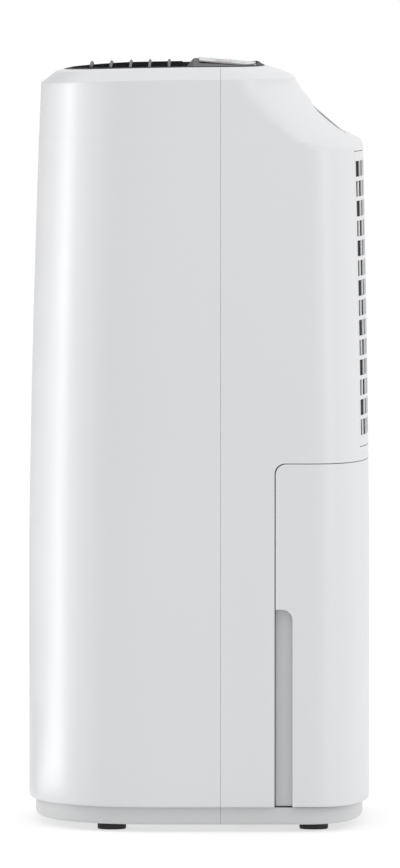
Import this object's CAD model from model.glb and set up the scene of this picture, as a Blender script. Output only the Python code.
"""The looks of a free-standing compressor dehumidifier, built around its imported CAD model.

Lengths are millimetres until place() turns them into metres. The rounded front faces -Y, the
intake and the tank +Y, +Z is up. The outline functions repeat the CAD's forms with more points.
"""

import math

import bmesh
import bpy
from mathutils import Matrix, Quaternion, Vector


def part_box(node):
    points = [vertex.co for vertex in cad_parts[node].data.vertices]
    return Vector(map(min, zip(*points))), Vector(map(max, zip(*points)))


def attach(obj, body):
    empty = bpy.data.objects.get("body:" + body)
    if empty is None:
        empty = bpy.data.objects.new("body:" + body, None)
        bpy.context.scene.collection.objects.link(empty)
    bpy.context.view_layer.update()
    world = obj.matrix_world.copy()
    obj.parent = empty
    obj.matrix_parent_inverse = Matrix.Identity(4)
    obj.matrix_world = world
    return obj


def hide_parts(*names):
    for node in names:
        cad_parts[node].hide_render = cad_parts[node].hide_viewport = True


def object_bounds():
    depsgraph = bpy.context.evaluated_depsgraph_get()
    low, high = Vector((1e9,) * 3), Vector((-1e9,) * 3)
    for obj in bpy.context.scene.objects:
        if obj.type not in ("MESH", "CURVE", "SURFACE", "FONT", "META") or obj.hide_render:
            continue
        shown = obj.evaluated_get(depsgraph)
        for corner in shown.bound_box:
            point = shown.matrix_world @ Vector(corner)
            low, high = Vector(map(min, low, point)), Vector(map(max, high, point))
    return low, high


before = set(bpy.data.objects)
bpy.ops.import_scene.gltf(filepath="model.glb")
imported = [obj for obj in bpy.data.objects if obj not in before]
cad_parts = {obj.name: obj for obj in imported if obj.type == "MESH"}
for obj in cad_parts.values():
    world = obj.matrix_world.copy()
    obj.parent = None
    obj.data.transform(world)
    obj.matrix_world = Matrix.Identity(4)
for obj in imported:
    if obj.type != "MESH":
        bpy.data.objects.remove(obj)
CAD_LOW, CAD_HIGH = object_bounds()

# ---------------------------------------------------------------- driving dimensions
MM = 0.001


def cad(node):
    """A CAD node's lowest and highest corner in millimetres."""
    low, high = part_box(node)
    return Vector(low) / MM, Vector(high) / MM


WIDTH = (CAD_HIGH[0] - CAD_LOW[0]) / MM
DEPTH = (CAD_HIGH[1] - CAD_LOW[1]) / MM
RIM_Z = cad("rear_housing")[1].z
GRILLE_LOW, GRILLE_HIGH = cad("intake_grille")
TANK_LOW, TANK_HIGH = cad("tank_fascia")
FOOT_H = cad("foot_1")[1].z

WALL = 3.0
SEAM_Y, SEAM_GAP = 16.3, 0.13
FRONT_LEN, REAR_LEN = 109.0, 49.0
EXPONENT = 2.6
END_POINTS = 48

PLINTH_TOP, BODY_BOTTOM, PLINTH_INSET = 19.2, 19.2, 5.2
TAPER_START, TAPER_SPAN = 200.0, 372.0
TAPER_FRONT, TAPER_REAR, TAPER_SIDE = 9.3, 6.1, 6.0
CROWN_Y, CROWN_BEND, CROWN_FADE = 20.0, 1.9e-4, (500.0, 570.0)
SAG, SAG_Z, SLOPE_EXPONENT = 2.0, (460.0, 523.0, 574.0), 2.1
SHOULDER_Z, SCOOP_START = 574.8, 523.0
SCOOP_CORNER = ((2.1, 0.25), (3.6, 0.8), (4.8, 1.45), (5.6, 2.2), (6.2, 3.1), (6.7, 4.1), (7.0, 5.2))
SCOOP_POINTS = ((122.0, 529.2), (89.5, 550.5), (75.0, 574.0))
INSERT_REAR, INSERT_HALF, RIM_LAND, GAP = 52.0, 152.0, 1.2, 0.3
INSERT_CROWN, BEZEL_BAND = 4.6, 4.5
VANE_CROWN, VANE_REACH, VANE_BOTTOM = 2.9, 42.0, 8.4
RIB_Y = (-83.3, -68.0, -52.8, -38.1, -23.1)

GRILLE_HALF = 117.0
SLOT_HALF, SLOT_Z, SLOT_ROWS, SLOT_BAR = 112.0, (301.6, 512.0), 14, 3.3
DIVIDER_PITCH, DIVIDER_WIDTH = 25.0, 3.2
GRILLE_WALL, SCREEN_HALF = 1.4, 115.0

TANK_Y, TANK_TOP, TANK_CORNER = TANK_LOW.y, TANK_HIGH.z, 8.0
RECESS_Y, RECESS_TOP, RECESS_DEPTH = 71.3, 170.6, 9.0
GRIP_HALF_X, GRIP_HALF_UP, GRIP_DEEP, GRIP_DRAFT = 62.0, 15.0, 20.0, 0.55
GRIP_FLARE = ((-4.2, 2.1), (-2.4, 2.15), (-1.4, 2.8), (-0.6, 4.1), (0.2, 6.4), (1.2, 10.5), (2.6, 16.0))
CORD_X, CORD_Z = -172.0, 300.0

CONTROL_FRONT, CONTROL_SLANT = -12.0, 7.0
PLATE_HALF, PLATE_Y, PLATE_CORNER = 98.0, (0.0, 43.7), 14.0
PANEL_Z, PANEL_SLOPE, PANEL_FALL = 590.0, 0.085, 2.6
PANEL_X_SPAN, PANEL_Y_SPAN = (-110.0, 110.0), (-10.0, 50.0)
CUT_LOW, CUT_HIGH = 570.0, 600.0
KEYS = ("power_key", "mode_key", "timer_key", "fan_key", "humidity_key")
KEY_SINK, KEY_HEIGHT, KEY_GAP, WINDOW_GAP = 0.5, 4.8, 0.35, 0.3
LINE_X, LINE_Y = (94.6, 95.3), (12.0, 27.0)
DOT_X, DOT_Y, DOT_HALF = (94.1, 95.8), (11.6, 27.4), 0.8
RECEIVER_X, RECEIVER_Y = (58.0, 66.0), (32.2, 34.8)
VANE_PITCH, VANE_WIDTH, VANE_COUNT, VANE_STEPS = 9.0, 1.8, 29, 24
CROSS_BARS = {0, 7, 15, 23}


# ---------------------------------------------------------------- mesh helpers
def place(name, mesh, body, material, nodes=(), sharp=32.0):
    """Makes a piece from a bmesh in millimetres, which rides on a body and stands for CAD nodes."""
    bmesh.ops.recalc_face_normals(mesh, faces=mesh.faces)
    mesh.transform(Matrix.Scale(MM, 4))
    data = bpy.data.meshes.new(name)
    mesh.to_mesh(data)
    mesh.free()
    piece = bpy.data.objects.new(name, data)
    bpy.context.scene.collection.objects.link(piece)
    data.materials.append(material)
    shade(piece, sharp)
    declare(piece, body, nodes)
    return piece


def shade(piece, sharp=32.0):
    piece.data.shade_smooth()
    piece.data.set_sharp_from_angle(angle=math.radians(sharp))


def declare(piece, body, nodes):
    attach(piece, body)
    if nodes:
        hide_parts(*nodes)


def solid(mesh):
    """A bmesh as a bare object, for the Booleans."""
    bmesh.ops.recalc_face_normals(mesh, faces=mesh.faces)
    mesh.transform(Matrix.Scale(MM, 4))
    data = bpy.data.meshes.new("cutter")
    mesh.to_mesh(data)
    mesh.free()
    thing = bpy.data.objects.new("cutter", data)
    bpy.context.scene.collection.objects.link(thing)
    return thing


def carve(base, *steps):
    """Runs Booleans on a bmesh and returns the result as a bmesh in millimetres."""
    target = solid(base)
    cutters = []
    for operation, mesh in steps:
        cutter = solid(mesh)
        cutters.append(cutter)
        modifier = target.modifiers.new("step", "BOOLEAN")
        modifier.operation = operation
        modifier.object = cutter
        modifier.solver = "MANIFOLD"
    graph = bpy.context.evaluated_depsgraph_get()
    result = bmesh.new()
    result.from_mesh(bpy.data.meshes.new_from_object(target.evaluated_get(graph)))
    for thing in [target, *cutters]:
        bpy.data.objects.remove(thing, do_unlink=True)
    result.transform(Matrix.Scale(1.0 / MM, 4))
    return result


def merged(*meshes):
    """Several separate bmeshes as one."""
    whole = bmesh.new()
    for mesh in meshes:
        data = bpy.data.meshes.new("part")
        bmesh.ops.recalc_face_normals(mesh, faces=mesh.faces)
        mesh.to_mesh(data)
        mesh.free()
        whole.from_mesh(data)
        bpy.data.meshes.remove(data)
    return whole


def box(low, high, bevel=0.0, segments=3):
    mesh = bmesh.new()
    size = [b - a for a, b in zip(low, high)]
    middle = [(a + b) / 2 for a, b in zip(low, high)]
    stretch = Matrix.Diagonal((*size, 1.0))
    bmesh.ops.create_cube(mesh, size=1.0, matrix=Matrix.Translation(middle) @ stretch)
    if bevel:
        bmesh.ops.bevel(mesh, geom=mesh.edges[:], offset=bevel, segments=segments, profile=0.5,
                        affect="EDGES")
    return mesh


def cylinder(start, end, radius, segments=48):
    mesh = bmesh.new()
    axis = Vector(end) - Vector(start)
    turn = axis.to_track_quat("Z", "Y").to_matrix().to_4x4()
    middle = Matrix.Translation((Vector(start) + Vector(end)) / 2)
    bmesh.ops.create_cone(mesh, cap_ends=True, segments=segments, radius1=radius, radius2=radius,
                          depth=axis.length, matrix=middle @ turn)
    return mesh


def add_face(mesh, corners):
    if len(set(corners)) == len(corners):
        mesh.faces.new(corners)


def skin(loops, ring=False):
    """A closed surface through loops of equal count, capped at both ends or closed as a ring."""
    mesh = bmesh.new()
    rows = [[mesh.verts.new(point) for point in loop] for loop in loops]
    count = len(rows[0])
    pairs = list(zip(rows, rows[1:]))
    if ring:
        pairs.append((rows[-1], rows[0]))
    for low, high in pairs:
        for i in range(count):
            j = (i + 1) % count
            add_face(mesh, (low[i], low[j], high[j], high[i]))
    if not ring:
        for row in (rows[0], rows[-1]):
            middle = mesh.verts.new(sum((v.co for v in row), Vector()) / count)
            for i in range(count):
                add_face(mesh, (row[i], row[(i + 1) % count], middle))
    return mesh


def lattice(column_edges, row_edges, is_there, front, back):
    """A plate of cells: is_there(column, row) says which exist; front and back map (u, v) to a point."""
    mesh = bmesh.new()
    corners = {}

    def corner(side, i, j):
        key = (side, i, j)
        if key not in corners:
            surface = front if side else back
            corners[key] = mesh.verts.new(surface(column_edges[i], row_edges[j]))
        return corners[key]

    columns, rows = len(column_edges) - 1, len(row_edges) - 1

    def there(i, j):
        return 0 <= i < columns and 0 <= j < rows and is_there(i, j)

    for i in range(columns):
        for j in range(rows):
            if not there(i, j):
                continue
            for side in (0, 1):
                mesh.faces.new([corner(side, a, b) for a, b in
                                ((i, j), (i + 1, j), (i + 1, j + 1), (i, j + 1))])
            walls = (((i - 1, j), (i, j), (i, j + 1)), ((i + 1, j), (i + 1, j), (i + 1, j + 1)),
                     ((i, j - 1), (i, j), (i + 1, j)), ((i, j + 1), (i, j + 1), (i + 1, j + 1)))
            for neighbour, first, second in walls:
                if not there(*neighbour):
                    mesh.faces.new([corner(0, *first), corner(0, *second),
                                    corner(1, *second), corner(1, *first)])
    return mesh


def turned(profile, centre, axis="Z", segments=48):
    """A solid of revolution from (radius, height) points; a radius of 0 closes it on the axis."""
    mesh = bmesh.new()
    rows = []
    for radius, height in profile:
        if radius == 0.0:
            rows.append([mesh.verts.new((0.0, 0.0, height))] * segments)
            continue
        rows.append([mesh.verts.new((radius * math.cos(2 * math.pi * k / segments),
                                     radius * math.sin(2 * math.pi * k / segments), height))
                     for k in range(segments)])
    closed = profile[0][0] > 0.0
    pairs = list(zip(rows, rows[1:])) + ([(rows[-1], rows[0])] if closed else [])
    for low, high in pairs:
        for i in range(segments):
            j = (i + 1) % segments
            corners = list(dict.fromkeys((low[i], low[j], high[j], high[i])))
            if len(corners) > 2:
                mesh.faces.new(corners)
    turn = {"Z": Matrix(), "Y": Matrix.Rotation(math.radians(-90.0), 4, "X")}[axis]
    mesh.transform(Matrix.Translation(centre) @ turn)
    return mesh


# ---------------------------------------------------------------- the body's outline
def plan(half, front, rear, z, front_len=FRONT_LEN, rear_len=REAR_LEN, exponent=EXPONENT,
         front_exponent=None, points=END_POINTS):
    """Points of one horizontal outline: straight flanks with a rounded end at the front and the rear."""
    loop = []
    ends = ((1.0, rear_len, rear - rear_len, exponent),
            (-1.0, front_len, front + front_len, front_exponent or exponent))
    for sign, length, middle, power in ends:
        for k in range(points + 1):
            angle = math.pi * k / points
            across = math.copysign(abs(math.cos(angle)) ** (2.0 / power), math.cos(angle))
            along = math.sin(angle) ** (2.0 / power) if 0 < k < points else 0.0
            y = middle + sign * length * along
            x = sign * half * across
            loop.append((x, y, z(x, y) if callable(z) else z))
    return loop


def end_depth(x, half, length, exponent=EXPONENT):
    """How far a rounded end reaches beyond the flanks at this x."""
    share = min(1.0, abs(x) / half)
    return length * (1.0 - share ** exponent) ** (1.0 / exponent)


def taper(z):
    return max(0.0, min(1.0, (z - TAPER_START) / TAPER_SPAN)) ** 1.5


def outline_at(z):
    """(half width, front, rear) of the body below the scoop."""
    share = taper(z)
    return (WIDTH / 2 - TAPER_SIDE * share, -DEPTH / 2 + TAPER_FRONT * share,
            DEPTH / 2 - TAPER_REAR * share)


def scoop_point(t):
    """(y, z) on the concave slope that runs from the rear wall up to the top."""
    (y0, z0), (y1, z1), (y2, z2) = SCOOP_POINTS
    a, b, c = (1 - t) ** 2, 2 * t * (1 - t), t * t
    return a * y0 + b * y1 + c * y2, a * z0 + b * z1 + c * z2


def crown(z):
    """The top rises to a low crown along Y; the rise fades out down the walls."""
    low, high = CROWN_FADE
    share = max(0.0, min(1.0, (z - low) / (high - low)))
    return lambda y: z - share * CROWN_BEND * (y - CROWN_Y) ** 2


def level(z, half):
    """Height over (x, y) of a row of the body: the slope's rows hang lower towards the flanks."""
    low, middle, high = SAG_Z
    share = max(0.0, min((z - low) / (middle - low), (high - z) / (high - middle)))
    rise = crown(z)
    return lambda x, y: rise(y) - SAG * share * min(1.0, abs(x) / half) ** 3


def rear_exponent(z):
    """The slope's outlines turn away from the flanks more suddenly than the walls' do."""
    share = max(0.0, min(1.0, (z - SCOOP_START) / 8.0, (RIM_Z - z) / 14.0))
    return EXPONENT - (EXPONENT - SLOPE_EXPONENT) * share


def body_levels(inset, step=12.5, slope_steps=14):
    """Rows of (half, front, rear, z, front length, rear length) up the body, moved in by a wall."""
    rows = []
    count = round((SCOOP_START - BODY_BOTTOM - 2.0) / step)
    for k in range(count + 1):
        z = BODY_BOTTOM + 2.0 + (SCOOP_START - BODY_BOTTOM - 2.0) * k / count
        rows.append((*outline_at(z), z))
    half, front, rear = outline_at(SCOOP_START)
    for rise, inwards in SCOOP_CORNER:
        rows.append((half, front, rear - inwards, SCOOP_START + rise))
    for k in range(slope_steps + 1):
        y, z = scoop_point(0.07 + 0.93 * k / slope_steps)
        half, front, _ = outline_at(z)
        rows.append((half, front, y, z))
    return [(half - inset, front + inset, rear - inset, level(z, half), FRONT_LEN - inset,
             REAR_LEN - inset, rear_exponent(z)) for half, front, rear, z in rows]


def rim_levels(inset, height_drop=0.0, shares=(0.06, 0.14, 0.3, 0.5, 0.7, 0.84, 0.9, 1.0)):
    """The chamfer from the shoulder to the rim: straight round the front, rounder at the rear."""
    half, front, _ = outline_at(SCOOP_POINTS[2][1])
    rear = SCOOP_POINTS[2][0]
    rows = []
    for share in shares:
        front_in = 11.6 * share / 0.84 if share <= 0.84 else 11.6 + 5.4 * (share - 0.84) / 0.16
        if share < 0.1:
            front_in *= 0.55
        rear_in = (rear - INSERT_REAR) * share ** 1.6
        z = SHOULDER_Z + (RIM_Z - SHOULDER_Z) * share - height_drop
        rows.append((half - front_in - inset, front + front_in + inset, rear - rear_in - inset,
                     level(z, half), FRONT_LEN - 0.7 * front_in - inset, REAR_LEN - inset,
                     rear_exponent(z + height_drop)))
    return rows


def loops_of(rows):
    return [plan(half, front, rear, z, front_len, rear_len, power, EXPONENT)
            for half, front, rear, z, front_len, rear_len, power in rows]


def plinth_loops(inset, levels):
    """Loops of the recessed foot of the body at (extra inset, z) levels."""
    half, front, rear = WIDTH / 2 - PLINTH_INSET, PLINTH_INSET - DEPTH / 2, DEPTH / 2 - PLINTH_INSET
    loops = []
    for extra, z in levels:
        move = inset + extra
        loops.append(plan(half - move, front + move, rear - move, z,
                          FRONT_LEN - PLINTH_INSET - move, REAR_LEN - move))
    return loops


def outer_body():
    """The whole outer form, from the floor side of the plinth to the rim."""
    bottom = FOOT_H + GAP
    half, front, rear = outline_at(0.0)
    edge = [plan(half - move, front + move, rear - move, z, FRONT_LEN - move, REAR_LEN - move)
            for move, z in ((1.4, PLINTH_TOP), (0.7, PLINTH_TOP + 0.2), (0.2, PLINTH_TOP + 0.8))]
    foot = plinth_loops(0.0, ((1.8, bottom), (0.7, bottom + 0.5), (0.15, bottom + 1.5),
                              (0.0, bottom + 3.0), (0.0, PLINTH_TOP - 1.5), (0.0, PLINTH_TOP)))
    return skin(foot + edge + loops_of(body_levels(0.0) + rim_levels(0.0)))


def inner_body():
    """The hollow: open below and at the top."""
    below = plinth_loops(WALL, ((0.0, FOOT_H - 4.0), (0.0, PLINTH_TOP + 1.5)))
    body = body_levels(WALL, 60.0, 5)
    body[0] = (*body[0][:3], PLINTH_TOP + 4.5, *body[0][4:])
    rim = [rim_levels(WALL, WALL, (0.42,))[0], rim_levels(2.0, WALL, (0.84,))[0],
           rim_levels(RIM_LAND, 0.0, (1.0,))[0]]
    top = (*rim[-1][:3], level(RIM_Z + 4.0, WIDTH), *rim[-1][4:])
    return skin(below + loops_of(body + rim + [top]))


# ---------------------------------------------------------------- materials
def nodes_of(name):
    """A new material, its node tree and its Principled node."""
    material = bpy.data.materials.new(name)
    material.use_nodes = True
    tree = material.node_tree
    return material, tree, tree.nodes["Principled BSDF"]


def add(tree, kind, values=(), **settings):
    node = tree.nodes.new(kind)
    for key, value in settings.items():
        setattr(node, key, value)
    for key, value in dict(values).items():
        node.inputs[key].default_value = value
    return node


def ramp(tree, source, stops):
    """A colour ramp over a factor: stops are (position, grey or colour)."""
    node = tree.nodes.new("ShaderNodeValToRGB")
    elements = node.color_ramp.elements
    while len(elements) < len(stops):
        elements.new(0.5)
    for element, (position, value) in zip(elements, stops):
        element.position = position
        color = value if isinstance(value, tuple) else (value,) * 3
        element.color = (*color, 1.0)
    tree.links.new(source, node.inputs["Fac"])
    return node.outputs["Color"]


def object_coordinates(tree, scale=(1.0, 1.0, 1.0)):
    """Coordinates in metres, so a pattern keeps its real size."""
    source = add(tree, "ShaderNodeTexCoord")
    mapping = add(tree, "ShaderNodeMapping", {"Scale": scale})
    tree.links.new(source.outputs["Object"], mapping.inputs["Vector"])
    return mapping.outputs["Vector"]


def noise(tree, vector, scale, detail=3.0, roughness=0.55):
    node = add(tree, "ShaderNodeTexNoise", {"Scale": scale, "Detail": detail, "Roughness": roughness})
    tree.links.new(vector, node.inputs["Vector"])
    return node.outputs["Fac"]


def shifted(color, amount):
    return tuple(max(0.0, min(1.0, c * (1.0 + amount))) for c in color)


def moulded_plastic(name, color, roughness, grain=900.0, depth=0.00003, mottle=0.02, edge=0.0005,
                    specular=0.5, coat=0.0):
    """Injection-moulded plastic: fine grain, slow colour drift, a little handling haze, round edges."""
    material, tree, shader = nodes_of(name)
    vector = object_coordinates(tree)
    drift = noise(tree, vector, 5.0, 1.0)
    tint = ramp(tree, drift, ((0.0, shifted(color, -mottle)), (1.0, shifted(color, mottle))))
    tree.links.new(tint, shader.inputs["Base Color"])
    haze = noise(tree, vector, 23.0, 2.0)
    dull = ramp(tree, haze, ((0.0, roughness * 0.85), (1.0, roughness * 1.15)))
    tree.links.new(dull, shader.inputs["Roughness"])
    bevel = add(tree, "ShaderNodeBevel", {"Radius": edge}, samples=4)
    bump = add(tree, "ShaderNodeBump", {"Strength": 0.35, "Distance": depth})
    tree.links.new(noise(tree, vector, grain, 2.0), bump.inputs["Height"])
    tree.links.new(bevel.outputs["Normal"], bump.inputs["Normal"])
    tree.links.new(bump.outputs["Normal"], shader.inputs["Normal"])
    shader.inputs["Specular IOR Level"].default_value = specular
    shader.inputs["Coat Weight"].default_value = coat
    shader.inputs["Coat Roughness"].default_value = 0.12
    return material


def rubber_material():
    material, tree, shader = nodes_of("rubber_feet")
    vector = object_coordinates(tree)
    tint = ramp(tree, noise(tree, vector, 60.0), ((0.3, 0.008), (0.8, 0.018)))
    tree.links.new(tint, shader.inputs["Base Color"])
    tree.links.new(ramp(tree, noise(tree, vector, 140.0), ((0.3, 0.6), (0.8, 0.85))),
                   shader.inputs["Roughness"])
    bump = add(tree, "ShaderNodeBump", {"Strength": 0.5, "Distance": 0.0001})
    tree.links.new(noise(tree, vector, 1500.0), bump.inputs["Height"])
    tree.links.new(bump.outputs["Normal"], shader.inputs["Normal"])
    return material


def metal_material(name, color, roughness, stretch, grain=260.0):
    """Drawn, rolled or plated metal: grain stretched along one direction."""
    material, tree, shader = nodes_of(name)
    shader.inputs["Metallic"].default_value = 1.0
    vector = object_coordinates(tree, stretch)
    streak = noise(tree, vector, grain, 4.0)
    tree.links.new(ramp(tree, streak, ((0.25, shifted(color, -0.14)), (0.8, shifted(color, 0.05)))),
                   shader.inputs["Base Color"])
    tree.links.new(ramp(tree, streak, ((0.3, roughness * 0.75), (0.75, roughness * 1.3))),
                   shader.inputs["Roughness"])
    bump = add(tree, "ShaderNodeBump", {"Strength": 0.3, "Distance": 0.00005})
    tree.links.new(streak, bump.inputs["Height"])
    tree.links.new(bump.outputs["Normal"], shader.inputs["Normal"])
    return material


def fin_material():
    """Fin stock: bright aluminium with the edges of many thin fins across the block."""
    material, tree, shader = nodes_of("aluminium_fins")
    shader.inputs["Metallic"].default_value = 1.0
    vector = object_coordinates(tree)
    wave = add(tree, "ShaderNodeTexWave", {"Scale": 170.0, "Distortion": 0.0}, bands_direction="X")
    tree.links.new(vector, wave.inputs["Vector"])
    tree.links.new(ramp(tree, wave.outputs["Fac"], ((0.25, 0.32), (0.7, 0.8))),
                   shader.inputs["Base Color"])
    tree.links.new(ramp(tree, noise(tree, vector, 90.0), ((0.3, 0.28), (0.8, 0.5))),
                   shader.inputs["Roughness"])
    bump = add(tree, "ShaderNodeBump", {"Strength": 0.6, "Distance": 0.0004})
    tree.links.new(wave.outputs["Fac"], bump.inputs["Height"])
    tree.links.new(bump.outputs["Normal"], shader.inputs["Normal"])
    return material


def net_material():
    """Fine woven nylon: crossing threads a millimetre and a half apart."""
    material, tree, shader = nodes_of("filter_net")
    vector = object_coordinates(tree)
    waves = []
    for direction in ("X", "Z"):
        wave = add(tree, "ShaderNodeTexWave", {"Scale": 210.0, "Distortion": 0.0},
                   bands_direction=direction)
        tree.links.new(vector, wave.inputs["Vector"])
        waves.append(wave.outputs["Fac"])
    top = add(tree, "ShaderNodeMath", operation="MAXIMUM")
    for source, target in zip(waves, top.inputs):
        tree.links.new(source, target)
    tree.links.new(ramp(tree, top.outputs[0], ((0.55, 0.01), (0.85, 0.05))), shader.inputs["Base Color"])
    shader.inputs["Roughness"].default_value = 0.8
    shader.inputs["Specular IOR Level"].default_value = 0.1
    bump = add(tree, "ShaderNodeBump", {"Strength": 0.8, "Distance": 0.0003})
    tree.links.new(top.outputs[0], bump.inputs["Height"])
    tree.links.new(bump.outputs["Normal"], shader.inputs["Normal"])
    return material


def board_material():
    """A lacquered board with tracks and pads."""
    material, tree, shader = nodes_of("circuit_board")
    vector = object_coordinates(tree)
    brick = add(tree, "ShaderNodeTexBrick", {"Scale": 110.0, "Mortar Size": 0.03,
                                             "Color1": (0.02, 0.14, 0.06, 1.0),
                                             "Color2": (0.03, 0.2, 0.09, 1.0),
                                             "Mortar": (0.3, 0.42, 0.2, 1.0)})
    tree.links.new(vector, brick.inputs["Vector"])
    tree.links.new(brick.outputs["Color"], shader.inputs["Base Color"])
    tree.links.new(ramp(tree, noise(tree, vector, 200.0), ((0.3, 0.25), (0.8, 0.5))),
                   shader.inputs["Roughness"])
    return material


WHITE = moulded_plastic("white_plastic", (0.603, 0.61, 0.622), 0.34, specular=0.44)
PLINTH_GREY = moulded_plastic("plinth_plastic", (0.5, 0.505, 0.51), 0.36, coat=0.1, specular=0.4)
BEZEL_GREY = moulded_plastic("bezel_plastic", (0.085, 0.086, 0.09), 0.6, grain=1400.0, specular=0.1)
RING_GREY = moulded_plastic("ring_plastic", (0.022, 0.023, 0.025), 0.55, grain=1400.0, specular=0.1)
RIB_GREY = moulded_plastic("rib_plastic", (0.085, 0.086, 0.09), 0.5, grain=1400.0, specular=0.2)
OUTLET_BLACK = moulded_plastic("outlet_plastic", (0.006, 0.006, 0.008), 0.7, grain=1400.0, specular=0.04)
PANEL_GREY = moulded_plastic("panel_plastic", (0.44, 0.45, 0.455), 0.3, grain=2000.0, specular=0.4)
GLASS_BLACK = moulded_plastic("display_plastic", (0.01, 0.01, 0.013), 0.08, grain=300.0, depth=0.000005)
INNER_GREY = moulded_plastic("inner_plastic", (0.42, 0.43, 0.44), 0.5)
MILKY = moulded_plastic("tank_plastic", (0.56, 0.62, 0.66), 0.28, grain=500.0)
BLACK = moulded_plastic("black_plastic", (0.012, 0.012, 0.013), 0.6, specular=0.15)
ORANGE = moulded_plastic("orange_ink", (0.85, 0.2, 0.05), 0.5)
FLAG_GREY = moulded_plastic("flag_card", (0.14, 0.14, 0.143), 0.9, specular=0.05)
RUBBER = rubber_material()
ENAMEL = moulded_plastic("black_enamel", (0.02, 0.02, 0.022), 0.22, grain=400.0, coat=0.4)
ZINC = metal_material("zinc_steel", (0.6, 0.6, 0.61), 0.34, (1.0, 1.0, 6.0))
COPPER = metal_material("copper", (0.78, 0.42, 0.26), 0.28, (3.0, 1.0, 1.0))
CAN = metal_material("capacitor_can", (0.72, 0.73, 0.74), 0.3, (1.0, 1.0, 8.0))
FINS = fin_material()
NET = net_material()
BOARD = board_material()


# ---------------------------------------------------------------- casing
def tank_opening(gap):
    """The block that the tank front fills, with round upper corners on both flanks."""
    mesh = box((-WIDTH, TANK_Y - 1.5 * gap, TANK_LOW.z - gap), (WIDTH, DEPTH, TANK_TOP + gap))
    edges = [e for e in mesh.edges
             if all(v.co.y < TANK_Y + 1.0 and v.co.z > TANK_TOP - 1.0 for v in e.verts)]
    bmesh.ops.bevel(mesh, geom=edges, offset=TANK_CORNER, segments=10, profile=0.5, affect="EDGES")
    return mesh


def grip_frame():
    """Matrix of the grip: origin at the middle of its mouth, local Z out of the slope, local Y up it."""
    (y_low, z_low), (y_high, z_high) = scoop_point(0.12), scoop_point(0.62)
    up = Vector((0.0, y_high - y_low, z_high - z_low)).normalized()
    out = Vector((1.0, 0.0, 0.0)).cross(up)
    if out.y < 0.0:
        out.negate()
    middle = Vector((0.0, (y_low + y_high) / 2, (z_low + z_high) / 2))
    return Matrix.Translation(middle) @ Matrix((up.cross(out), up, out)).transposed().to_4x4()


def grip_block(grow, top, bottom):
    mesh = box((-GRIP_HALF_X - grow, -GRIP_HALF_UP - grow, bottom),
               (GRIP_HALF_X + grow, GRIP_HALF_UP + grow, top))
    upright = [e for e in mesh.edges if abs(e.verts[0].co.z - e.verts[1].co.z) > 1.0]
    bmesh.ops.bevel(mesh, geom=upright, offset=10.0 + grow, segments=8, profile=0.5, affect="EDGES")
    for vert in mesh.verts:
        vert.co.x *= 1.0 + GRIP_DRAFT * vert.co.z / GRIP_DEEP
    mesh.transform(grip_frame())
    return mesh


def grip_flare():
    """Cutter that rounds the edge of the grip's mouth."""
    loops = []
    for height, grow in GRIP_FLARE:
        half_x, half_up, corner = GRIP_HALF_X + grow, GRIP_HALF_UP + grow, 8.0 + grow
        loop = []
        for k in range(48):
            angle = 2.0 * math.pi * k / 48
            across, up = math.cos(angle), math.sin(angle)
            x = math.copysign(half_x - corner, across) + corner * across
            y = math.copysign(half_up - corner, up) + corner * up
            loop.append(grip_frame() @ Vector((x, y, height)))
        loops.append(loop)
    return skin(loops)


def casing():
    beyond = RIM_Z + 20.0
    front = carve(outer_body(), ("DIFFERENCE", inner_body()),
                  ("DIFFERENCE", box((-WIDTH, SEAM_Y - SEAM_GAP / 2, -10.0), (WIDTH, DEPTH, beyond))))
    paint_below(place("front_shell", front, "housing", WHITE, ["front_cover"]),
                PLINTH_TOP - 0.5, PLINTH_GREY)
    half = GRILLE_HALF + 0.4
    grille_hole = box((-half, 60.0, GRILLE_LOW.z - 0.4), (half, DEPTH, GRILLE_HIGH.z + 0.4))
    inlet_hole = box((CORD_X - 9.3, 30.0, CORD_Z - 9.3), (CORD_X + 9.3, 49.0, CORD_Z + 9.3))
    holes = merged(box((-WIDTH, -DEPTH, -10.0), (WIDTH, SEAM_Y + SEAM_GAP / 2, beyond)),
                   tank_opening(0.5), grille_hole, grip_block(2.1, 30.0, -30.0), inlet_hole)
    rear = carve(outer_body(), ("DIFFERENCE", inner_body()), ("DIFFERENCE", holes),
                 ("DIFFERENCE", grip_flare()))
    paint_below(place("rear_shell", rear, "housing", WHITE, ["rear_housing"]),
                PLINTH_TOP - 0.5, PLINTH_GREY)
    pocket = carve(grip_block(2.0, -2.6, -GRIP_DEEP - 2.0),
                   ("DIFFERENCE", grip_block(0.0, 10.0, -GRIP_DEEP)))
    place("grip_liner", pocket, "housing", WHITE, ["grip_pocket"])


def paint_below(piece, height, material):
    """Gives the faces of a piece below this height another material."""
    piece.data.materials.append(material)
    for face in piece.data.polygons:
        if face.center.z < height * MM:
            face.material_index = 1


def feet():
    profile = [(0.0, 0.0), (8.6, 0.0), (9.0, 0.5), (9.6, 0.5), (10.0, 0.0), (10.5, 0.15), (10.9, 0.6),
               (11.0, 1.2), (11.0, FOOT_H - 1.2), (10.8, FOOT_H - 0.5), (10.4, FOOT_H), (0.0, FOOT_H)]
    for number in range(1, 5):
        low, high = cad(f"foot_{number}")
        centre = ((low.x + high.x) / 2, (low.y + high.y) / 2, 0.0)
        place(f"rubber_foot_{number}", turned(profile, centre), "housing", RUBBER,
              [f"foot_{number}"])


# ---------------------------------------------------------------- intake
def rear_surface(inset):
    """Maps (x, z) onto the rear wall, moved in by inset."""
    def point(x, z):
        half, _, rear = outline_at(z)
        y = rear - REAR_LEN + end_depth(x, half - inset, REAR_LEN - inset)
        return (x, y, z)
    return point


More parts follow.
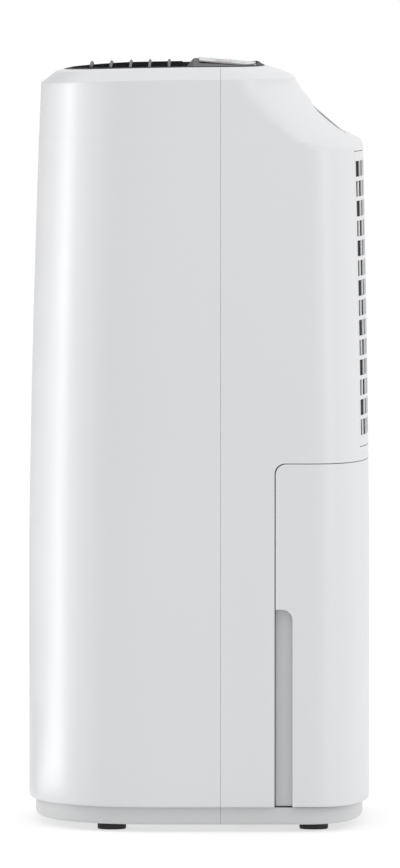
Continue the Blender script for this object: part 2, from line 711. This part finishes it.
def intake():
    """The curved grille with staggered dividers; the bars' outer edges are eased by a bevel."""
    pitch = (SLOT_Z[1] - SLOT_Z[0] + SLOT_BAR) / SLOT_ROWS
    rows = [GRILLE_LOW.z]
    for row in range(SLOT_ROWS):
        rows += [SLOT_Z[0] + row * pitch, SLOT_Z[0] + (row + 1) * pitch - SLOT_BAR]
    rows.append(GRILLE_HIGH.z)
    columns = [-GRILLE_HALF, -SLOT_HALF]
    reach = 8
    for k in range(-reach, reach + 1):
        centre = k * DIVIDER_PITCH / 2
        columns += [centre - DIVIDER_WIDTH / 2, centre + DIVIDER_WIDTH / 2]
    columns += [SLOT_HALF, GRILLE_HALF]

    def is_there(i, j):
        if j % 2 == 0 or i in (0, len(columns) - 2):
            return True
        return i % 2 == 0 and ((i - 2) // 2) % 2 == ((j - 1) // 2) % 2
    panel = lattice(columns, rows, is_there, rear_surface(0.0), rear_surface(GRILLE_WALL))
    piece = place("grille_panel", panel, "grille", WHITE, ["intake_grille"])
    bevel = piece.modifiers.new("ease", "BEVEL")
    bevel.width = 0.0004
    bevel.segments = 2
    bevel.limit_method = "ANGLE"
    bevel.angle_limit = math.radians(60.0)
    bevel.harden_normals = True
    screen_columns = [SCREEN_HALF * k / 16 for k in range(-16, 17)]
    screen = lattice(screen_columns, [rows[0] + 4.0, *rows[2:-2:2], rows[-1] - 4.0], lambda i, j: True,
                     rear_surface(GRILLE_WALL + 0.3), rear_surface(GRILLE_WALL + 0.8))
    place("grille_screen", screen, "grille", NET)


# ---------------------------------------------------------------- tank
def tank():
    floor_x = WIDTH / 2 - RECESS_DEPTH
    inner = plan(WIDTH / 2 - WALL, 0.0, DEPTH / 2 - WALL, 0.0, 20.0, REAR_LEN - WALL)
    backs, recesses = [], []
    for side in (-1.0, 1.0):
        xs = sorted((side * (floor_x - WALL), side * (floor_x + 7.5)))
        backs.append(box((xs[0], TANK_Y, TANK_LOW.z + 0.4), (xs[1], RECESS_Y + WALL, RECESS_TOP + WALL)))
        xs = sorted((side * floor_x, side * WIDTH))
        recess = box((xs[0], 0.0, 0.0), (xs[1], RECESS_Y, RECESS_TOP))
        edge = [e for e in recess.edges
                if all(v.co.y > RECESS_Y - 1.0 and v.co.z > RECESS_TOP - 1.0 for v in e.verts)]
        bmesh.ops.bevel(recess, geom=edge, offset=TANK_CORNER, segments=10, profile=0.5, affect="EDGES")
        recesses.append(recess)
    wall = carve(outer_body(), ("DIFFERENCE", skin([inner, [(x, y, 400.0) for x, y, _ in inner]])),
                 ("INTERSECT", tank_opening(0.0)), ("UNION", merged(*backs)),
                 ("DIFFERENCE", merged(*recesses)))
    place("tank_front", wall, "tank", WHITE, ["tank_fascia"])


# ---------------------------------------------------------------- top insert
def insert_row(inset):
    """(half, front, rear, front length, rear length) of the insert, moved in from the rim's opening."""
    half, front, rear, _, front_len, rear_len, _ = rim_levels(RIM_LAND + GAP + inset)[-1]
    return half, front, rear, front_len, rear_len


def insert_outline(inset, z_of):
    half, front, rear, front_len, rear_len = insert_row(inset)
    return plan(half, front, rear, z_of, front_len, rear_len)


def crown_height(x, y, drop=0.0):
    """The insert's surface: from the rim up to a low crown across the width."""
    share = min(1.0, abs(x) / INSERT_HALF)
    return crown(RIM_Z)(y) + INSERT_CROWN * (1.0 - share ** 2) - drop


def insert_half_at(y, inset):
    """Half width of the insert at this y, on its front end."""
    half, front, _, front_len, _ = insert_row(inset)
    return end_depth(max(0.0, front + front_len - y), front_len, half)


def rib(y, half, steps=40):
    """One proud rib across the outlet: a tapered blade with a round back."""
    section = ((-1.5, 6.0), (-1.25, 2.0), (-0.9, 0.3), (-0.5, -0.2), (0.0, -0.4), (0.5, -0.2),
               (0.9, 0.3), (1.25, 2.0), (1.5, 6.0))
    loops = []
    for k in range(steps + 1):
        x = -half + 2 * half * k / steps
        loops.append([(x, y + across, crown_height(x, y, drop)) for across, drop in section])
    return skin(loops)


def vane_rise(x, y):
    """How far the black outlet surface stands above the rim: nothing at its front tip."""
    _, front, _, _, _ = insert_row(BEZEL_BAND)
    along = max(0.0, min(1.0, (y - front) / VANE_REACH))
    across = min(1.0, abs(x) / INSERT_HALF)
    return VANE_CROWN * (1.0 - across ** 2) * along ** 0.5


def ring_rise(x, y, inset, rise):
    """The ring slopes up from the rim to the outlet surface at its inner edge."""
    if rise < 0.0:
        return rise
    return max(rise, vane_rise(x, y) * inset / BEZEL_BAND)


def outlet():
    rim = crown(RIM_Z)
    profile = ((0.0, -8.0), (0.0, -0.5), (0.15, -0.1), (0.5, 0.1), (BEZEL_BAND - 0.7, 0.8),
               (BEZEL_BAND - 0.2, 0.65), (BEZEL_BAND, 0.3), (BEZEL_BAND, -8.0))
    ring = skin([insert_outline(inset, lambda x, y, inset=inset, rise=rise:
                                rim(y) + ring_rise(x, y, inset, rise))
                 for inset, rise in profile], ring=True)
    place("outlet_ring", ring, "housing", RING_GREY, ["top_bezel"])
    for number, y in enumerate(RIB_Y, 1):
        blade = rib(y, insert_half_at(y, BEZEL_BAND) + 1.5)
        place(f"outlet_rib_{number}", blade, "housing", RIB_GREY, ["top_bezel"])
    columns = []
    for number in range(VANE_COUNT):
        x = (number - (VANE_COUNT - 1) / 2) * VANE_PITCH
        columns += [x - VANE_WIDTH / 2, x + VANE_WIDTH / 2]
    shares = [k / VANE_STEPS for k in range(VANE_STEPS + 1)]

    def surface(height):
        def point(x, share):
            half, front, _, front_len, _ = insert_row(BEZEL_BAND + 0.2)
            start = front + front_len - end_depth(x, half, front_len)
            y = start + (CONTROL_FRONT - 1.0 - start) * share
            return (x, y, height(x, y))
        return point
    slats = merged(lattice(columns, shares, lambda i, j: i % 2 == 0,
                           surface(lambda x, y: rim(y) + vane_rise(x, y)),
                           surface(lambda x, y: crown_height(x, y, VANE_BOTTOM))),
                   lattice(columns, shares, lambda i, j: j in CROSS_BARS,
                           surface(lambda x, y: crown_height(x, y, VANE_BOTTOM - 2.4)),
                           surface(lambda x, y: crown_height(x, y, VANE_BOTTOM + 0.3))))
    place("outlet_vanes", slats, "housing", OUTLET_BLACK, ["outlet_slats"])


# ---------------------------------------------------------------- controls
def panel_height(x, y, drop=0.0):
    """The control plate's top: a low crown across, sloping down towards the rear."""
    return PANEL_Z - PANEL_SLOPE * y - PANEL_FALL * (x / INSERT_HALF) ** 2 - drop


def console_height(x, y):
    """The console under the plate: high along the middle, down to the rim at its edge."""
    half, _, rear, _, rear_len = insert_row(0.0)
    across = min(1.0, abs(x) / half)
    along = max(0.0, min(1.0, (y - (rear - rear_len)) / rear_len))
    radial = min(1.0, (across ** EXPONENT + along ** EXPONENT) ** (1.0 / EXPONENT))
    lift = 4.9 - PANEL_SLOPE * max(0.0, y)
    return crown(RIM_Z)(y) + 0.4 + lift * (1.0 - radial ** 2) ** 1.4


def plate_outline(grow, corner=PLATE_CORNER, steps=12):
    """The plate seen from above, with round corners."""
    front, rear = PLATE_Y
    points = []
    for sx, cy, start in ((1.0, rear - corner, 0.0), (-1.0, rear - corner, 90.0)):
        for k in range(steps + 1):
            angle = math.radians(start + 90.0 * k / steps)
            points.append((sx * (PLATE_HALF - corner) + (corner + grow) * math.cos(angle),
                           cy + (corner + grow) * math.sin(angle)))
    small = 4.0
    for sx, start in ((-1.0, 180.0), (1.0, 270.0)):
        for k in range(steps + 1):
            angle = math.radians(start + 90.0 * k / steps)
            points.append((sx * (PLATE_HALF - small) + (small + grow) * math.cos(angle),
                           front + small + (small + grow) * math.sin(angle)))
    return points


def prism(outline, low, high):
    return skin([[(x, y, z) for x, y in outline] for z in (low, high)])


def crowned_slab(x_span, y_span, top, bottom, columns=48, rows=12):
    """A slab whose faces follow panel_height less top and bottom."""
    us = [x_span[0] + (x_span[1] - x_span[0]) * k / columns for k in range(columns + 1)]
    vs = [y_span[0] + (y_span[1] - y_span[0]) * k / rows for k in range(rows + 1)]
    return lattice(us, vs, lambda i, j: True, lambda x, y: (x, y, panel_height(x, y, top)),
                   lambda x, y: (x, y, panel_height(x, y, bottom)))


def console():
    half, _, rear, _, rear_len = insert_row(0.0)
    steps = 64
    us = [half * math.copysign(abs(math.cos(a)) ** (2.0 / EXPONENT), math.cos(a))
          for a in (math.pi * k / steps for k in range(steps, -1, -1))]
    vs = [0.0, 0.012, 0.035, 0.07] + [0.12 + 0.8 * k / 20 for k in range(21)] + [0.96, 0.985, 1.0]

    def surface(start, height):
        def point(x, share):
            reach = rear - rear_len + end_depth(x, half, rear_len)
            y = start + (reach - start) * share
            return (x, y, height(x, y, share))
        return point

    def top(x, y, share):
        ease = 0.9 if share == 0.0 else 0.25 if share < 0.02 else 0.0
        return console_height(x, y) - ease

    block = lattice(us, vs, lambda i, j: True, surface(CONTROL_FRONT + CONTROL_SLANT, top),
                    surface(CONTROL_FRONT, lambda x, y, share: crown_height(x, y, 8.6)))
    place("console", block, "housing", BEZEL_GREY, ["control_housing"])


def key_centre(node):
    low, high = cad(node)
    return (low.x + high.x) / 2, (low.y + high.y) / 2, (high.x - low.x) / 2


def controls():
    plate = carve(crowned_slab(PANEL_X_SPAN, PANEL_Y_SPAN, -0.6, 0.5),
                  ("INTERSECT", prism(plate_outline(0.0), RIM_Z - 9.0, RIM_Z + 20.0)))
    wells = [cylinder((x, y, CUT_LOW), (x, y, CUT_HIGH), radius + KEY_GAP)
             for x, y, radius in map(key_centre, KEYS)]
    low, high = cad("display_window")
    wells.append(box((low.x - WINDOW_GAP, low.y - WINDOW_GAP, CUT_LOW),
                     (high.x + WINDOW_GAP, high.y + WINDOW_GAP, CUT_HIGH)))
    plate = carve(plate, ("DIFFERENCE", merged(*wells)))
    place("panel_plate", plate, "housing", PANEL_GREY, ["control_plate"])
    shadow = carve(crowned_slab(PANEL_X_SPAN, PANEL_Y_SPAN, 0.5, 4.0),
                   ("INTERSECT", prism(plate_outline(-2.0), RIM_Z - 9.0, RIM_Z + 20.0)))
    place("panel_base", shadow, "housing", BLACK, ["control_plate"])
    window = carve(crowned_slab((-60.0, 60.0), (0.0, 40.0), -0.75, 2.0),
                   ("INTERSECT", box((low.x, low.y, CUT_LOW), (high.x, high.y, CUT_HIGH))))
    place("display_pane", window, "housing", GLASS_BLACK, ["display_window"])
    for name in KEYS:
        x, y, radius = key_centre(name)
        z = cad(name)[1].z - KEY_SINK
        profile = [(0.0, z - KEY_HEIGHT), (radius, z - KEY_HEIGHT), (radius, z - 0.9),
                   (radius - 0.25, z - 0.35), (radius - 0.8, z - 0.1), (radius - 2.0, z - 0.05),
                   (radius - 3.4, z - 0.25), (0.0, z - 0.35)]
        place(f"{name}_cap", turned(profile, (x, y, 0.0)), f"{name}_body",
              PANEL_GREY, [name])


def markings():
    """Generic marks: a thin orange line with end dots beside the keys and a small dark pane."""
    def mark(name, x_span, y_span, material):
        (x0, x1), (y0, y1) = x_span, y_span
        outline = [(x0, y0), (x1, y0), (x1, y1), (x0, y1)]
        slab = carve(crowned_slab((x0 - 2.0, x1 + 2.0), (y0 - 2.0, y1 + 2.0), -0.72, -0.3, 6, 6),
                     ("INTERSECT", prism(outline, RIM_Z - 5.0, RIM_Z + 20.0)))
        place(name, slab, "housing", material)
    mark("status_line", LINE_X, LINE_Y, ORANGE)
    for name, y in zip(("status_dot_front", "status_dot_rear"), DOT_Y):
        mark(name, DOT_X, (y - DOT_HALF, y + DOT_HALF), ORANGE)
    mark("receiver_pane", RECEIVER_X, RECEIVER_Y, GLASS_BLACK)


# ---------------------------------------------------------------- carried-over CAD nodes
CARRIED = {
    INNER_GREY: ("base_pan", "bulkhead", "drip_tray", "fan_housing", "outlet_duct", "tank_handle",
                 "tank_float"),
    BLACK: ("cord_inlet", "filter_frame", "fan_wheel", "terminal_cover", "tank_full_switch"),
    MILKY: ("tank_bucket", "tank_lid"),
    RUBBER: tuple(f"compressor_grommet_{k}" for k in (1, 2, 3)),
    ENAMEL: ("compressor", "accumulator"),
    ZINC: ("capacitor_clamp", "fan_motor", "motor_shaft", "motor_bracket")
    + tuple(f"compressor_bolt_{k}" for k in (1, 2, 3)),
    CAN: ("run_capacitor",),
    FINS: ("evaporator", "condenser"),
    COPPER: ("suction_pipe", "discharge_pipe", "capillary_tube"),
    NET: ("filter_mesh_left", "filter_mesh_right"),
    BOARD: ("control_board", "humidity_sensor"),
}


def carried_over():
    for material, names in CARRIED.items():
        for name in names:
            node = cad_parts[name]
            for slot_used in node.material_slots:
                slot_used.material = material


# ---------------------------------------------------------------- stage, light and camera
# Metres and watts here, apart from the cards, which are in millimetres.
FLOOR_SIZE, FLOOR_GLOW, SKY_STRENGTH = 300.0, 0.6, 1.02
CARD_LOW, CARD_HIGH = (-1640.0, -1750.0, 0.0), (-1600.0, -330.0, 1400.0)
LOW_CARD, LOW_CARD_Z = [(-100.0, -190.0), (-1600.0, -1750.0), (-1600.0, -500.0)], (0.5, 1.0)
AIM = (0.0, 0.0, 0.3)
LIGHTS = (
    # name, place, aim, size, watts, turn in degrees
    ("front_strip", (-1.15, -2.62, 0.75), AIM, (0.6, 1.6), 15.5, 0.0),
    ("front_fill", (0.6, -2.9, 0.75), AIM, (1.8, 1.6), 5.0, 0.0),
    ("front_low_strip", (-0.5, -1.2, 0.01), (-0.5, -1.2, 1.0), (0.28, 2.0), 7.0, -27.0),
    ("rear_panel", (1.1, 2.6, 0.8), AIM, (1.8, 2.6), 18.5, 0.0),
    ("top_panel", (0.0, 0.3, 2.6), AIM, (2.4, 2.4), 9.0, 0.0),
)
AZIMUTH, ELEVATION, DISTANCE, LENS = 90.0, 2.3, 10.3, 550.0
CAMERA_AIM = (0.0, 0.00066, 0.298)


def stage():
    mesh = bmesh.new()
    bmesh.ops.create_grid(mesh, x_segments=1, y_segments=1, size=FLOOR_SIZE)
    data = bpy.data.meshes.new("floor")
    mesh.to_mesh(data)
    mesh.free()
    floor = bpy.data.objects.new("floor", data)
    bpy.context.scene.collection.objects.link(floor)
    material, tree, shader = nodes_of("pale_floor")
    tint = ramp(tree, noise(tree, object_coordinates(tree), 3.0), ((0.3, 0.38), (0.7, 0.4)))
    tree.links.new(tint, shader.inputs["Base Color"])
    shader.inputs["Roughness"].default_value = 0.9
    shader.inputs["Specular IOR Level"].default_value = 0.1
    shader.inputs["Emission Color"].default_value = (1.0, 1.0, 1.0, 1.0)
    shader.inputs["Emission Strength"].default_value = FLOOR_GLOW
    data.materials.append(material)


def flag():
    """Dark cards beside the camera's view, which the rounded front mirrors as its darker edge."""
    mesh = merged(box(CARD_LOW, CARD_HIGH), prism(LOW_CARD, *LOW_CARD_Z))
    mesh.transform(Matrix.Scale(MM, 4))
    data = bpy.data.meshes.new("flag")
    mesh.to_mesh(data)
    mesh.free()
    card = bpy.data.objects.new("flag", data)
    bpy.context.scene.collection.objects.link(card)
    card.visible_camera = False
    card.visible_diffuse = False
    card.visible_shadow = False
    data.materials.append(FLAG_GREY)


def area_light(name, place_at, aim, size, power, turn):
    data = bpy.data.lights.new(name, "AREA")
    data.shape = "RECTANGLE"
    data.size, data.size_y = size
    data.energy = power
    lamp = bpy.data.objects.new(name, data)
    lamp.visible_camera = False
    lamp.location = place_at
    facing = (Vector(aim) - Vector(place_at)).to_track_quat("-Z", "Y")
    lamp.rotation_euler = (Quaternion((0.0, 0.0, 1.0), math.radians(turn)) @ facing).to_euler()
    bpy.context.scene.collection.objects.link(lamp)


def lights():
    world = bpy.data.worlds.new("studio")
    world.use_nodes = True
    world.node_tree.nodes["Background"].inputs["Color"].default_value = (1.0, 1.0, 1.0, 1.0)
    world.node_tree.nodes["Background"].inputs["Strength"].default_value = SKY_STRENGTH
    bpy.context.scene.world = world
    for light in LIGHTS:
        area_light(*light)


def camera():
    azimuth, elevation = math.radians(AZIMUTH), math.radians(ELEVATION)
    back = Vector((math.sin(azimuth) * math.cos(elevation), -math.cos(azimuth) * math.cos(elevation),
                   math.sin(elevation)))
    data = bpy.data.cameras.new("camera")
    data.lens = LENS
    data.sensor_width = 36.0
    data.clip_start, data.clip_end = 0.1, 2000.0
    eye = bpy.data.objects.new("camera", data)
    eye.location = Vector(CAMERA_AIM) + back * DISTANCE
    eye.rotation_euler = (-back).to_track_quat("-Z", "Y").to_euler()
    bpy.context.scene.collection.objects.link(eye)
    bpy.context.scene.camera = eye
    bpy.context.scene.view_settings.view_transform = "Standard"


camera()
casing()
feet()
intake()
tank()
outlet()
console()
controls()
markings()
carried_over()
stage()
flag()
lights()
